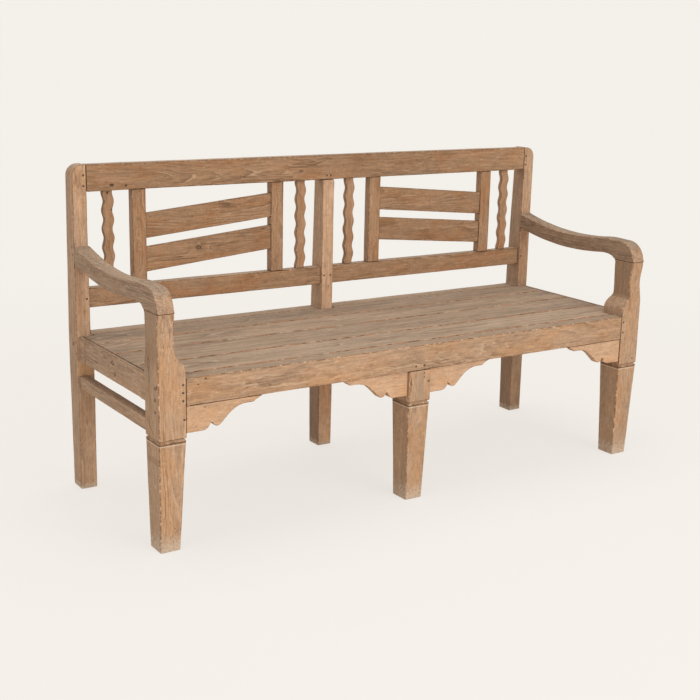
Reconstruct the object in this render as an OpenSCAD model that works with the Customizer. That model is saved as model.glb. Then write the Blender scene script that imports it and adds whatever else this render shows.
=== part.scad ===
// Slatted bench of reclaimed hardwood, pegged mortise and tenon frame.
// The origin is on the floor, under the middle of the box around the bench.
// X runs along the bench, -Y is the front, +Z is up.

/* [Overall] */
// Length over the outer faces of the arms
bench_w = 1640; // [1480:10:1800]
// Depth from the front of the legs to the back of the posts
bench_d = 600; // [580:5:640]
// Height of the back posts
back_h = 925; // [900:1:970]
// Height of the seat surface
seat_h = 450; // [436:2:466]

/* [Back posts] */
// Width of an outer post above the seat
post_w = 42; // [40:1:48]
// Width of the middle post above the seat
mid_post_w = 41; // [38:1:44]
// Depth of a post at the seat
post_d = 63; // [60:1:66]
// Depth of a post at its top
post_top_d = 48; // [46:1:54]
// Width of a rear leg below the seat
rear_leg_w = 50; // [48:1:58]
// Width of a rear foot
rear_foot_w = 48; // [42:1:54]
// Depth of a rear foot
rear_foot_d = 57; // [48:1:60]
// Height above the seat where a post starts to thin towards its top
post_kink_h = 30; // [20:1:50]
// Radius of the rounded outer corner on top of a post
post_round = 31; // [10:1:34]

/* [Front legs] */
// Width of a front leg block
leg_w = 76; // [70:1:84]
// Depth of a front leg block
leg_d = 83; // [78:1:90]
// Width of the middle front leg
mid_leg_w = 73; // [66:1:80]
// Distance of the middle front leg from the middle of the bench
mid_leg_off = -27; // [-40:1:0]
// Width of a front foot
foot_w = 55; // [44:1:60]
// Depth of a front foot
foot_d = 63; // [56:1:74]
// Depth of the groove between block and tapered leg below the seat rails
groove_drop = 86; // [80:1:92]
// Height of that groove
groove_h = 7; // [5:0.5:9]
// Depth of that groove
groove_deep = 5; // [3:0.5:6]
// Height of the square block above the seat
shoulder_h = 20; // [16:1:26]
// Height of the curved shoulder over the block
ogee_h = 46; // [36:1:50]
// Width of the arm support over the curved shoulder
support_w = 48; // [47:1:56]
// Depth of the arm support where it meets the arm
joint_d = 77; // [72:1:82]
// Depth of the arm support at its waist
support_d = 74; // [66:1:78]
// Hollow in the front of the arm support
front_hollow = 8; // [3:0.5:9]
// Depth of the same groove in the middle front leg below the front rail
mid_groove_drop = 94; // [82:1:98]

/* [Arms] */
// Width of an arm and of its support
arm_w = 47; // [44:1:50]
// Thickness of an arm
arm_t = 47; // [42:1:52]
// Height of the arm's lowest point above the seat
arm_rise = 218; // [212:1:232]
// Distance of that lowest point from the front
arm_dip = 275; // [255:5:290]
// Radius of the long hollow curve of an arm
arm_r = 990; // [940:10:1100]
// Height of the arm's front end above the seat
nose_rise = 227; // [220:1:236]
// Radius of the rolled front end of an arm
nose_r = 60; // [54:1:64]
// Distance from the front where the hollow curve gives way to the rolled end
arm_crown = 150; // [120:5:170]
// Height of the curve under the arm behind its support
arm_fillet = 20; // [14:1:24]
// Length of that curve
arm_sweep = 52; // [40:1:60]

/* [Back] */
// Height of the top rail
top_rail_h = 74; // [60:1:80]
// Thickness of the top rail
top_rail_t = 34; // [32:1:40]
// Height of the lower back rail above the seat
low_rail_rise = 77; // [70:1:90]
// Height of the lower back rail
low_rail_h = 55; // [50:1:64]
// Thickness of the lower back rail
low_rail_t = 32; // [30:1:38]
// How far the lower back rail and the stiles lie behind the posts' front
back_recess = 7; // [4:1:9]
// Width of a stile
stile_w = 42; // [36:1:48]
// Thickness of a stile
stile_t = 26; // [25:1:30]
// Distance from a post to the next stile
stile_off = 135; // [110:1:150]
// Width of a wavy slat
wavy_w = 29; // [22:1:34]
// Thickness of a wavy slat
wavy_t = 14; // [12:1:18]
// Sideways swing of a wavy slat
wave_amp = 2.75; // [1.5:0.25:5]
// Length of one wave
wave_pitch = 51.5; // [40:0.5:64]
// Height of a slanted slat, as a share of the opening between the back rails
slant_share = 0.268; // [0.22:0.002:0.27]
// Thickness of a slanted slat
slant_t = 12; // [10:1:16]
// Gap between two slanted slats, as a share of that opening
gap_share = 0.089; // [0.06:0.001:0.11]
// Rise of a slanted slat towards the middle of the bench, as a share of that opening
rise_share = 0.137; // [0.08:0.001:0.16]

/* [Seat] */
// Height of the front, rear and side rails
rail_h = 72; // [66:1:78]
// Thickness of the front rail
front_rail_t = 48; // [40:1:52]
// Thickness of the rear rail
rear_rail_t = 46; // [40:1:48]
// Thickness of a side rail
side_rail_t = 30; // [28:1:36]
// Width of a side rail's rim beside the planks
side_rim = 10; // [8:1:14]
// How far the side rails lie inside the legs' outer faces
side_recess = 6; // [2:0.5:8]
// Depth to which the outer face of a side rail is cut back
panel_deep = 2; // [1:0.5:4]
// Width of the flat left over that panel
panel_top = 9; // [7:0.5:12]
// Width of the flat left at each end of that panel
panel_end = 40; // [30:1:50]
// Width of the front seat plank
plank_1_w = 121; // [100:1:130]
// Width of the second seat plank
plank_2_w = 133; // [100:1:140]
// Width of the third seat plank
plank_3_w = 120; // [100:1:130]
// Thickness of a seat plank
plank_t = 20; // [16:1:24]
// Gap between seat planks
plank_gap = 4; // [2:0.5:7]
// Width of the middle cross rail
cross_w = 40; // [34:1:44]
// Height of a side stretcher
stretcher_h = 35; // [28:1:38]
// Thickness of a side stretcher
stretcher_t = 26; // [22:1:30]
// Gap between a side rail and the stretcher under it
stretcher_gap = 43; // [36:1:44]

/* [Brackets] */
// Length of a carved bracket
bracket_l = 215; // [200:2:240]
// Height of a carved bracket at the leg
bracket_h = 71; // [66:1:76]
// Thickness of a carved bracket
bracket_t = 24; // [20:1:32]
// How far an outer bracket lies behind the rail's front
bracket_recess = 2; // [0:0.5:4]
// How far a bracket beside the middle leg lies behind the rail's front
mid_recess = 7; // [2:0.5:10]

/* [Joints] */
// Length of a rail's tenon
tenon_l = 26; // [20:1:28]
// Thickness of a rail's tenon
tenon_t = 12; // [10:1:13]
// Length of a slat's or a bracket's tenon
stub_l = 12; // [8:1:14]
// Shoulder left above and below a rail's tenon
shoulder = 9; // [6:1:10]
// Clearance around a tenon
fit = 0.2; // [0.1:0.05:0.4]
// Diameter of a peg
peg_d = 6; // [5:0.5:8]
// Clearance around a peg
peg_fit = 0.1; // [0.05:0.05:0.3]
// Distance of a peg from the shoulder of its joint
peg_inset = 9; // [8:0.5:11]

/* [Hidden] */
$fn = 48;

half_w = bench_w / 2;
front = -bench_d / 2;
back = bench_d / 2;
post_y = back - post_d;
rail_z = seat_h - rail_h;
block_top = seat_h + shoulder_h;
waist_z = block_top + ogee_h;
groove_z = rail_z - groove_drop;
mid_groove_z = rail_z - mid_groove_drop;
stretcher_z = rail_z - stretcher_gap - stretcher_h;

dip_y = front + arm_dip;
big_z = seat_h + arm_rise + arm_r;
crown_y = front + arm_crown;
nose_y = front + nose_r;
nose_z = seat_h + nose_rise - nose_r;
joint_z = nose_z;
// The curve under the arm is a quarter of an ellipse that meets the underside at its slope
fillet_y = front + joint_d + arm_sweep;
fillet_start = atan2(arm_fillet, arm_sweep * tan(asin((dip_y - fillet_y) / (arm_r + arm_t))));
under_y0 = fillet_y + arm_sweep * cos(fillet_start);
fillet_z = arm_under(under_y0) - arm_fillet * sin(fillet_start);
fillet_end = 180 - asin((joint_z - fillet_z) / arm_fillet);

top_rail_z = back_h - top_rail_h;
low_rail_z = seat_h + low_rail_rise;
low_rail_top = low_rail_z + low_rail_h;
back_y = post_y + back_recess;
stile_mid_y = back_y + stile_t / 2;
wavy_y = stile_mid_y - wavy_t / 2 + 2;
slant_y = back_y + 3;

outer_stile_x = half_w - post_w - stile_off - stile_w;
inner_stile_x = mid_post_w / 2 + stile_off;
outer_wavy_x = half_w - post_w - stile_off / 2;
inner_wavy_x = mid_post_w / 2 + stile_off / 2;
slant_x0 = inner_stile_x + stile_w;
slant_x1 = outer_stile_x;
slant_mid_z = (low_rail_top + top_rail_z) / 2;
slant_h = slant_share * (top_rail_z - low_rail_top);
slant_gap = gap_share * (top_rail_z - low_rail_top);
slant_rise = rise_share * (top_rail_z - low_rail_top);

// Rails as boxes: [low x, high x, low y, high y, low z, high z]
TOP_RAIL = [-half_w + post_w, half_w - post_w, post_y, post_y + top_rail_t, top_rail_z, back_h];
LOW_RAIL = [mid_post_w / 2, half_w - post_w, back_y, back_y + low_rail_t, low_rail_z, low_rail_top];
REAR_RAIL = [rear_leg_w / 2, half_w - rear_leg_w, back - rear_rail_t, back, rail_z, seat_h];
FRONT_RAIL = [-half_w + leg_w, half_w - leg_w, front, front + front_rail_t, rail_z, seat_h];
SIDE_RAIL = [half_w - side_recess - side_rail_t, half_w - side_recess, front + leg_d, post_y,
             rail_z, seat_h];
STRETCHER = [half_w - side_recess - stretcher_t, half_w - side_recess, front + leg_d, post_y,
             stretcher_z, stretcher_z + stretcher_h];
CROSS_RAIL = [-cross_w / 2, cross_w / 2, front + front_rail_t, post_y,
              rail_z, seat_h - plank_t];

plank_y0 = front + front_rail_t + plank_gap;
plank_y2 = plank_y0 + plank_1_w + plank_gap;
plank_y3 = plank_y2 + plank_2_w + plank_gap;
plank_y4 = plank_y3 + plank_3_w + plank_gap;
plank_end = back - rear_rail_t - plank_gap;
plank_half = half_w - side_recess - side_rim - 1;
notch = 1.5;
// How far a tenon reaches into its own rail, and a bore out of its wood
root = 2;

low_peg_z = low_rail_z + low_rail_h / 2;
stretcher_peg_z = stretcher_z + stretcher_h / 2;
top_pegs = [back_h - 0.39 * top_rail_h, back_h - 0.78 * top_rail_h];
left_rail_pegs = [rail_z + 0.21 * rail_h, rail_z + 0.5 * rail_h, rail_z + 0.78 * rail_h];
right_rail_pegs = [rail_z + 0.3 * rail_h, rail_z + 0.75 * rail_h];
bracket_peg_z = rail_z - 0.48 * bracket_h;

TEAK = "#b48a66";
TEAK_FRONT = "#c3936b";
TEAK_SEAT = "#a8937d";
TEAK_DARK = "#8d6c50";

// Points of an arc around [x, y], from angle a to angle b
function arc(x, y, r, a, b, n = 16) =
    [for (i = [0:n]) let(t = a + (b - a) * i / n) [x + r * cos(t), y + r * sin(t)]];

// Points of the ellipse under an arm, from angle a to angle b
function fillet(a, b, n = 8) =
    [for (i = [0:n]) let(t = a + (b - a) * i / n)
        [fillet_y + arm_sweep * cos(t), fillet_z + arm_fillet * sin(t)]];

// Points from the rolled end of an arm, where it is level, to its hollow curve
function crown(n = 8) = let(
        z0 = nose_z + nose_r,
        run = crown_y - nose_y,
        slope = -tan(asin((dip_y - crown_y) / arm_r))
    ) [for (i = [1:n]) let(t = i / n)
        [nose_y + run * t, z0 + (arm_top(crown_y) - z0) * (3 - 2 * t) * t * t
            + slope * run * (t - 1) * t * t]];

// Points of a double curve that moves from u0 to u1 while z rises from z0 to z1
function ogee(u0, u1, z0, z1, n = 14) =
    [for (i = [0:n]) let(t = i / n) [u0 + (u1 - u0) * (1 - cos(180 * t)) / 2, z0 + (z1 - z0) * t]];

// Points of a hollow of the given depth between two heights, towards +u
function hollow(u, depth, z0, z1, n = 12) =
    [for (i = [0:n]) let(t = i / n) [u + depth * pow(sin(180 * t), 2), z0 + (z1 - z0) * t]];

function flip(points) = [for (i = [len(points) - 1:-1:0]) points[i]];
function arm_top(y) = big_z - sqrt(arm_r * arm_r - pow(y - dip_y, 2));
function arm_under(y) = big_z - sqrt(pow(arm_r + arm_t, 2) - pow(y - dip_y, 2));
function sway(z) = wave_amp * cos(360 * (z - slant_mid_z) / wave_pitch);

module box(b) {
    translate([b[0], b[2], b[4]]) cube([b[1] - b[0], b[3] - b[2], b[5] - b[4]]);
}

// Outline in the plane of the back, given thickness from y towards +Y
module xz_plate(y, t, points) {
    translate([0, y + t, 0]) rotate([90, 0, 0]) linear_extrude(t) polygon(points);
}

// Outline in the plane of an arm, given width from x towards +X
module yz_plate(x, w, points) {
    translate([x, 0, 0]) rotate([90, 0, 90]) linear_extrude(w) polygon(points);
}

// Tenons at both ends of a rail that runs along X, or their mortises when grown
module x_tenons(b, grow = 0, long = tenon_l, thick = tenon_t) {
    y = (b[2] + b[3] - thick) / 2;
    box([b[0] - long - grow, b[0] + root, y - grow, y + thick + grow,
         b[4] + shoulder - grow, b[5] - shoulder + grow]);
    box([b[1] - root, b[1] + long + grow, y - grow, y + thick + grow,
         b[4] + shoulder - grow, b[5] - shoulder + grow]);
}

module y_tenons(b, grow = 0, long = tenon_l, thick = tenon_t) {
    x = (b[0] + b[1] - thick) / 2;
    box([x - grow, x + thick + grow, b[2] - long - grow, b[2] + root,
         b[4] + shoulder - grow, b[5] - shoulder + grow]);
    box([x - grow, x + thick + grow, b[3] - root, b[3] + long + grow,
         b[4] + shoulder - grow, b[5] - shoulder + grow]);
}

module x_rail(b) {
    box(b);
    x_tenons(b);
}

module y_rail(b) {
    box(b);
    y_tenons(b);
}

// A peg along Y at each [x, z], from its face at y0 to y1; as a bore it runs out of that face
module y_pegs(places, y0, y1, grow = 0) {
    over = grow > 0 ? root : 0;
    for (p = places)
        translate([p[0], y1, p[1]]) rotate([90, 0, 0])
            cylinder(d = peg_d + 2 * grow, h = y1 - y0 + over);
}

// A peg along X at each [y, z], from x0 to its face at x1; as a bore it runs out of that face
module x_pegs(places, x0, x1, grow = 0) {
    over = grow > 0 ? root : 0;
    for (p = places)
        translate([x0, p[0], p[1]]) rotate([0, 90, 0])
            cylinder(d = peg_d + 2 * grow, h = x1 - x0 + over);
}

module mirrored(on = true) {
    if (on) mirror([1, 0, 0]) children();
    else children();
}

// Pegs of the back, also used to bore their holes
module back_peg_set(grow = 0) {
    outer_x = half_w - post_w + peg_inset;
    arm_peg_z = (arm_top(post_y) + arm_under(post_y)) / 2;
    for (s = [0, 1]) mirrored(s == 1) {
        y_pegs([for (z = top_pegs) [outer_x, z]], post_y, post_y + post_top_d * 0.75, grow);
        y_pegs([[outer_x, low_peg_z], [mid_post_w / 2 - peg_inset, low_peg_z]],
               post_y, post_y + post_d * 0.75, grow);
        y_pegs([[mid_post_w / 6, top_rail_z + tenon_l / 2]], post_y, post_y + top_rail_t, grow);
        x_pegs([[post_y + tenon_l / 2, arm_peg_z]], half_w - post_w * 0.8, half_w, grow);
    }
}

// Pegs of the seat frame, also used to bore their holes
module seat_peg_set(grow = 0) {
    y1 = front + front_rail_t;
    rail_x = half_w - leg_w + peg_inset;
    y_pegs([for (z = left_rail_pegs) [-rail_x, z]], front, y1, grow);
    y_pegs([for (z = right_rail_pegs) [rail_x, z]], front, y1, grow);
    for (s = [0, 1]) mirrored(s == 1) {
        x_pegs([for (z = right_rail_pegs) [post_y + peg_inset, z]],
               half_w - rear_leg_w * 0.7, half_w, grow);
        x_pegs([[post_y + peg_inset, stretcher_peg_z]], half_w - rear_leg_w * 0.7, half_w, grow);
        mirror([0, 1, 0]) y_pegs([for (x = [half_w - rear_leg_w, rear_leg_w / 2 - 2 * peg_inset])
                [x + peg_inset, rail_z + rail_h / 2]], -back, -back + rear_rail_t, grow);
    }
    y_pegs([[-half_w + leg_w - stub_l / 2, bracket_peg_z]], front, y1, grow);
    for (s = [-1, 1]) {
        y_pegs([[mid_leg_off + s * mid_leg_w * 0.2, rail_z + tenon_l / 2]], front, y1, grow);
        y_pegs([[mid_leg_off + s * (mid_leg_w - stub_l) / 2, bracket_peg_z]], front, y1, grow);
    }
}

// Mortises that both kinds of post share, for a post on the +X side
module post_mortises() {
    x_tenons(TOP_RAIL, fit);
    x_tenons(LOW_RAIL, fit);
    x_tenons(REAR_RAIL, fit);
    mirror([1, 0, 0]) x_tenons(LOW_RAIL, fit);
    mirror([1, 0, 0]) x_tenons(REAR_RAIL, fit);
    y_tenons(SIDE_RAIL, fit);
    y_tenons(STRETCHER, fit);
    y_tenons(CROSS_RAIL, fit);
    arm_tenon(fit);
}

// Side view of every post: plumb below the seat, thinner towards the top
module post_side(x, w, top) {
    yz_plate(x, w, [
        [post_y, 0], [post_y + rear_foot_d, 0], [back, rail_z], [back, seat_h + post_kink_h],
        [post_y + post_top_d, back_h], [post_y + post_top_d, top], [post_y, top]
    ]);
}

module outer_post() {
    x = half_w;
    difference() {
        intersection() {
            xz_plate(post_y - 1, post_d + 2, concat(
                [[x, 0], [x - rear_foot_w, 0], [x - rear_leg_w, groove_z],
                 [x - rear_leg_w, seat_h], [x - post_w, seat_h], [x - post_w, back_h]],
                flip(arc(x - post_round, back_h - post_round, post_round, 0, 90))));
            post_side(x - leg_w, leg_w, back_h);
        }
        post_mortises();
        back_peg_set(peg_fit);
        seat_peg_set(peg_fit);
    }
}

module back_post_left() {
    color(TEAK) mirror([1, 0, 0]) outer_post();
}

module back_post_right() {
    color(TEAK) outer_post();
}

module mid_post_tenon(grow = 0) {
    w = mid_post_w - 2 * shoulder;
    box([-w / 2 - grow, w / 2 + grow, stile_mid_y - tenon_t / 2 - grow,
         stile_mid_y + tenon_t / 2 + grow, top_rail_z - root, top_rail_z + tenon_l + grow]);
}

module back_post_centre() {
    w = mid_post_w / 2;
    lw = rear_leg_w / 2;
    fw = rear_foot_w / 2;
    color(TEAK) difference() {
        union() {
            intersection() {
                xz_plate(post_y - 1, post_d + 2, [
                    [-fw, 0], [fw, 0], [lw, groove_z], [lw, seat_h], [w, seat_h],
                    [w, top_rail_z], [-w, top_rail_z], [-w, seat_h], [-lw, seat_h], [-lw, groove_z]
                ]);
                post_side(-lw, 2 * lw, top_rail_z);
            }
            mid_post_tenon();
        }
        post_mortises();
        back_peg_set(peg_fit);
        seat_peg_set(peg_fit);
    }
}

module top_rail() {
    color(TEAK_FRONT) difference() {
        x_rail(TOP_RAIL);
        mid_post_tenon(fit);
        for (x = [inner_stile_x, outer_stile_x]) {
            stile_tenons(x, fit);
            mirror([1, 0, 0]) stile_tenons(x, fit);
        }
        for (x = [-outer_wavy_x, -inner_wavy_x, inner_wavy_x, outer_wavy_x]) wavy_tenons(x, fit);
        back_peg_set(peg_fit);
    }
}

module lower_back_rail() {
    difference() {
        x_rail(LOW_RAIL);
        for (x = [inner_stile_x, outer_stile_x]) stile_tenons(x, fit);
        for (x = [inner_wavy_x, outer_wavy_x]) wavy_tenons(x, fit);
        back_peg_set(peg_fit);
    }
}

module lower_back_rail_left() {
    color(TEAK) difference() {
        mirror([1, 0, 0]) x_rail(LOW_RAIL);
        for (x = [inner_stile_x, outer_stile_x]) mirror([1, 0, 0]) stile_tenons(x, fit);
        for (x = [inner_wavy_x, outer_wavy_x]) wavy_tenons(-x, fit);
        back_peg_set(peg_fit);
    }
}

module lower_back_rail_right() {
    color(TEAK) lower_back_rail();
}

// Tenons of a stile whose left edge is at x
module stile_tenons(x, grow = 0) {
    y = stile_mid_y - tenon_t / 2;
    for (z = [[low_rail_top - stub_l - grow, low_rail_top + root],
              [top_rail_z - root, top_rail_z + stub_l + grow]])
        box([x + shoulder - grow, x + stile_w - shoulder + grow,
             y - grow, y + tenon_t + grow, z[0], z[1]]);
}

module stile(x) {
    difference() {
        union() {
            box([x, x + stile_w, back_y, back_y + stile_t, low_rail_top, top_rail_z]);
            stile_tenons(x);
        }
        for (level = [-1, 1]) slanted_slat(level, fit);
    }
}

module stile_left_outer() {
    color(TEAK) mirror([1, 0, 0]) stile(outer_stile_x);
}

module stile_left_inner() {
    color(TEAK) mirror([1, 0, 0]) stile(inner_stile_x);
}

module stile_right_inner() {
    color(TEAK) stile(inner_stile_x);
}

module stile_right_outer() {
    color(TEAK) stile(outer_stile_x);
}

// Tenons of a wavy slat whose middle is at x
module wavy_tenons(x, grow = 0) {
    w = wavy_w / 2 - wave_amp;
    y = wavy_y + wavy_t / 4;
    for (z = [[low_rail_top - stub_l - grow, low_rail_top + root],
              [top_rail_z - root, top_rail_z + stub_l + grow]])
        box([x - w - grow, x + w + grow, y - grow, y + wavy_t / 2 + grow, z[0], z[1]]);
}

module wavy_slat(x) {
    n = 64;
    edge = [for (i = [0:n]) low_rail_top + (top_rail_z - low_rail_top) * i / n];
    xz_plate(wavy_y, wavy_t, concat(
        [for (z = edge) [x + wavy_w / 2 + sway(z), z]],
        [for (z = flip(edge)) [x - wavy_w / 2 + sway(z), z]]));
    wavy_tenons(x);
}

module wavy_slat_left_outer() {
    color(TEAK) wavy_slat(-outer_wavy_x);
}

module wavy_slat_left_inner() {
    color(TEAK) wavy_slat(-inner_wavy_x);
}

module wavy_slat_right_inner() {
    color(TEAK) wavy_slat(inner_wavy_x);
}

module wavy_slat_right_outer() {
    color(TEAK) wavy_slat(outer_wavy_x);
}

// Slanted slat on the +X side, housed in both stiles; level is -1 or 1
module slanted_slat(level, grow = 0) {
    run = slant_x1 - slant_x0;
    over = stub_l + grow;
    drop = slant_rise * over / run;
    z = slant_mid_z + level * (slant_h + slant_gap) / 2;
    zi = z + slant_rise / 2 + drop;
    zo = z - slant_rise / 2 - drop;
    h = slant_h / 2 + grow;
    xz_plate(slant_y - grow, slant_t + 2 * grow, [
        [slant_x0 - over, zi - h], [slant_x1 + over, zo - h],
        [slant_x1 + over, zo + h], [slant_x0 - over, zi + h]
    ]);
}

module slanted_slat_left_upper() {
    color(TEAK) mirror([1, 0, 0]) slanted_slat(1);
}

module slanted_slat_left_lower() {
    color(TEAK) mirror([1, 0, 0]) slanted_slat(-1);
}

module slanted_slat_right_upper() {
    color(TEAK) slanted_slat(1);
}

module slanted_slat_right_lower() {
    color(TEAK) slanted_slat(-1);
}

// Tenon of the +X arm in its back post
module arm_tenon(grow = 0) {
    z0 = arm_under(post_y) + shoulder;
    z1 = arm_top(post_y) - shoulder;
    x = half_w - (post_w + tenon_t) / 2;
    box([x - grow, x + tenon_t + grow, post_y - root, post_y + tenon_l + grow, z0 - grow, z1 + grow]);
}

// Tenon on top of the +X arm support, in the underside of the arm
module support_tenon(grow = 0) {
    x = half_w - (arm_w + tenon_t) / 2;
    box([x - grow, x + tenon_t + grow, front + 2 * shoulder - grow,
         front + joint_d - shoulder + grow, joint_z - root, joint_z + tenon_l + grow]);
}

module arm() {
    n = 24;
    difference() {
        union() {
            yz_plate(half_w - arm_w, arm_w, concat(
                arc(nose_y, nose_z, nose_r, 180, 90, 18),
                crown(),
                [for (i = [1:n]) let(y = crown_y + (post_y - crown_y) * i / n) [y, arm_top(y)]],
                [for (i = [n:-1:1]) let(y = under_y0 + (post_y - under_y0) * i / n) [y, arm_under(y)]],
                fillet(fillet_start, fillet_end)));
            arm_tenon();
        }
        support_tenon(fit);
        back_peg_set(peg_fit);
    }
}

module arm_left() {
    color(TEAK) mirror([1, 0, 0]) arm();
}

module arm_right() {
    color(TEAK) arm();
}

// Section of the groove at a face: level under the block, slanted on the leg below
function groove_section(face, way, z) = let(g = groove_h / 2) [
    [face - way, z - g - 1], [face, z - g], [face + way * groove_deep, z + g - 1.5],
    [face, z + g], [face - way, z + g]
];

// Groove around a block from x0 to x1, at the front, the sides and the back
module leg_groove(x0, x1, z) {
    for (x = [[x0, 1], [x1, -1]])
        xz_plate(front - 1, leg_d + 2, groove_section(x[0], x[1], z));
    for (y = [[front, 1], [front + leg_d, -1]])
        yz_plate(x0 - 1, x1 - x0 + 2, groove_section(y[0], y[1], z));
}

// Side view of the lower leg: front plumb, back tapered below the groove
function leg_side(z, top) = [
    [front, 0], [front + foot_d, 0], [front + leg_d - 2, z - groove_h / 2],
    [front + leg_d, z], [front + leg_d, top]
];

// Front view of the lower leg, tapered on its right side only
function leg_front(x0, x1, z) = [
    [x1, z], [x1 - 1.5, z - groove_h / 2], [x0 + foot_w, 0], [x0, 0]
];

module outer_leg_blank(x0) {
    x1 = x0 + leg_w;
    s = x0 > 0 ? 1 : -1;
    out = s * half_w;
    inside = concat(ogee(out - s * leg_w, out - s * support_w, block_top, waist_z),
                    [[out - s * arm_w, joint_z]]);
    right_side = s > 0 ? [[out, joint_z]] : inside;
    left_side = s > 0 ? inside : [[out, joint_z]];
    intersection() {
        xz_plate(front - 1, leg_d + 2, concat(flip(right_side), leg_front(x0, x1, groove_z), left_side));
        yz_plate(x0 - 1, leg_w + 2, concat(
            leg_side(groove_z, seat_h),
            ogee(front + leg_d, front + support_d, block_top + ogee_h / 3, waist_z),
            ogee(front + support_d, front + joint_d, waist_z + 10, fillet_z),
            flip(fillet(fillet_end, 180, 4)),
            flip(hollow(front, front_hollow, block_top + ogee_h / 2, joint_z))));
    }
}

module outer_leg(x0) {
    right = x0 > 0;
    difference() {
        union() {
            outer_leg_blank(x0);
            mirrored(!right) support_tenon();
        }
        leg_groove(x0, x0 + leg_w, groove_z);
        x_tenons(FRONT_RAIL, fit);
        bracket_tenon(half_w - leg_w, 1, bracket_recess, fit);
        bracket_tenon(-half_w + leg_w, -1, bracket_recess, fit);
        mirrored(!right) {
            y_tenons(SIDE_RAIL, fit);
            y_tenons(STRETCHER, fit);
        }
        seat_peg_set(peg_fit);
    }
}

module front_leg_left() {
    color(TEAK_FRONT) outer_leg(-half_w);
}

module front_leg_right() {
    color(TEAK_FRONT) outer_leg(half_w - leg_w);
}

module mid_leg_tenon(grow = 0) {
    w = mid_leg_w - 4 * shoulder;
    y = front + (front_rail_t - tenon_t) / 2;
    box([mid_leg_off - w / 2 - grow, mid_leg_off + w / 2 + grow, y - grow, y + tenon_t + grow,
         rail_z - root, rail_z + tenon_l + grow]);
}

module front_leg_centre() {
    x0 = mid_leg_off - mid_leg_w / 2;
    x1 = x0 + mid_leg_w;
    color(TEAK_FRONT) difference() {
        union() {
            intersection() {
                xz_plate(front - 1, leg_d + 2,
                         concat([[x1, rail_z]], leg_front(x0, x1, mid_groove_z), [[x0, rail_z]]));
                yz_plate(x0 - 1, mid_leg_w + 2,
                         concat(leg_side(mid_groove_z, rail_z), [[front, rail_z]]));
            }
            mid_leg_tenon();
        }
        leg_groove(x0, x1, mid_groove_z);
        bracket_tenon(x0, 1, mid_recess, fit);
        bracket_tenon(x1, -1, mid_recess, fit);
        seat_peg_set(peg_fit);
    }
}

module front_rail() {
    color(TEAK_FRONT) difference() {
        x_rail(FRONT_RAIL);
        mid_leg_tenon(fit);
        y_tenons(CROSS_RAIL, fit);
        seat_peg_set(peg_fit);
    }
}

module rear_rail() {
    difference() {
        x_rail(REAR_RAIL);
        seat_peg_set(peg_fit);
    }
}

module rear_rail_left() {
    color(TEAK) mirror([1, 0, 0]) rear_rail();
}

module rear_rail_right() {
    color(TEAK) rear_rail();
}

// Side rail on the +X side, rebated for the ends of the planks and with a sunk outer panel
module side_rail() {
    difference() {
        y_rail(SIDE_RAIL);
        box([SIDE_RAIL[0] - 1, SIDE_RAIL[1] - side_rim, SIDE_RAIL[2] - 1, SIDE_RAIL[3] + 1,
             seat_h - plank_t, seat_h + 1]);
        box([SIDE_RAIL[1] - panel_deep, SIDE_RAIL[1] + 1, SIDE_RAIL[2] + panel_end,
             SIDE_RAIL[3] - panel_end, rail_z - 1, seat_h - panel_top]);
        seat_peg_set(peg_fit);
    }
}

module side_rail_left() {
    color(TEAK) mirror([1, 0, 0]) side_rail();
}

module side_rail_right() {
    color(TEAK) side_rail();
}

module side_stretcher() {
    difference() {
        y_rail(STRETCHER);
        seat_peg_set(peg_fit);
    }
}

module side_stretcher_left() {
    color(TEAK) mirror([1, 0, 0]) side_stretcher();
}

module side_stretcher_right() {
    color(TEAK) side_stretcher();
}

module cross_rail() {
    color(TEAK_DARK) y_rail(CROSS_RAIL);
}

// Seat plank from y0 to y1, notched around legs and posts
module seat_plank(y0, y1) {
    leg_x = half_w - leg_w - notch;
    post_x = half_w - rear_leg_w - notch;
    z0 = seat_h - plank_t - 1;
    color(TEAK_SEAT) difference() {
        box([-plank_half, plank_half, y0, y1, seat_h - plank_t, seat_h]);
        for (s = [0, 1]) mirrored(s == 1) {
            box([leg_x, half_w, front - 1, front + leg_d + notch, z0, seat_h + 1]);
            box([post_x, half_w, post_y - notch, back, z0, seat_h + 1]);
        }
        box([-rear_leg_w / 2 - notch, rear_leg_w / 2 + notch, post_y - notch, back, z0, seat_h + 1]);
    }
}

module seat_plank_front() {
    seat_plank(plank_y0, plank_y0 + plank_1_w);
}

module seat_plank_mid_front() {
    seat_plank(plank_y2, plank_y2 + plank_2_w);
}

module seat_plank_mid_back() {
    seat_plank(plank_y3, plank_y3 + plank_3_w);
}

module seat_plank_back() {
    seat_plank(plank_y4, plank_end);
}

// Outline of a carved bracket: u runs away from the leg, v is the height under the rail
function bracket_outline() = let(
        h = bracket_h,
        toe = h / 3,
        toe_u = 0.63 * h,
        lobe = h / 5,
        lobe_u = 1.22 * h,
        lip = 0.22 * h,
        lip_r = 0.14 * h,
        lip_u = bracket_l - 2.7 * lip_r,
        sweep = 1.06 * h,
        sweep_u = lip_u - lip
    ) concat(
        [[0, 0], [0, -h]],
        arc(toe_u, toe - h, toe, -90, -14, 10),
        arc(lobe_u, 1.5 * lobe - h, lobe, 190, 315, 14),
        arc(sweep_u, -lip - sweep, sweep, 135, 90, 12),
        arc(lip_u, lip_r - lip, lip_r, -90, -35, 5),
        [[bracket_l, -root], [bracket_l, 0]]);

// Stub tenon of a bracket in the leg face at x; side is 1 when the leg lies on its right
module bracket_tenon(x, side, recess, grow = 0) {
    y = front + recess + (bracket_t - tenon_t) / 2;
    box([side > 0 ? x - root : x - stub_l - grow, side > 0 ? x + stub_l + grow : x + root,
         y - grow, y + tenon_t + grow, rail_z - bracket_h + shoulder - grow, rail_z - shoulder + grow]);
}

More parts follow.
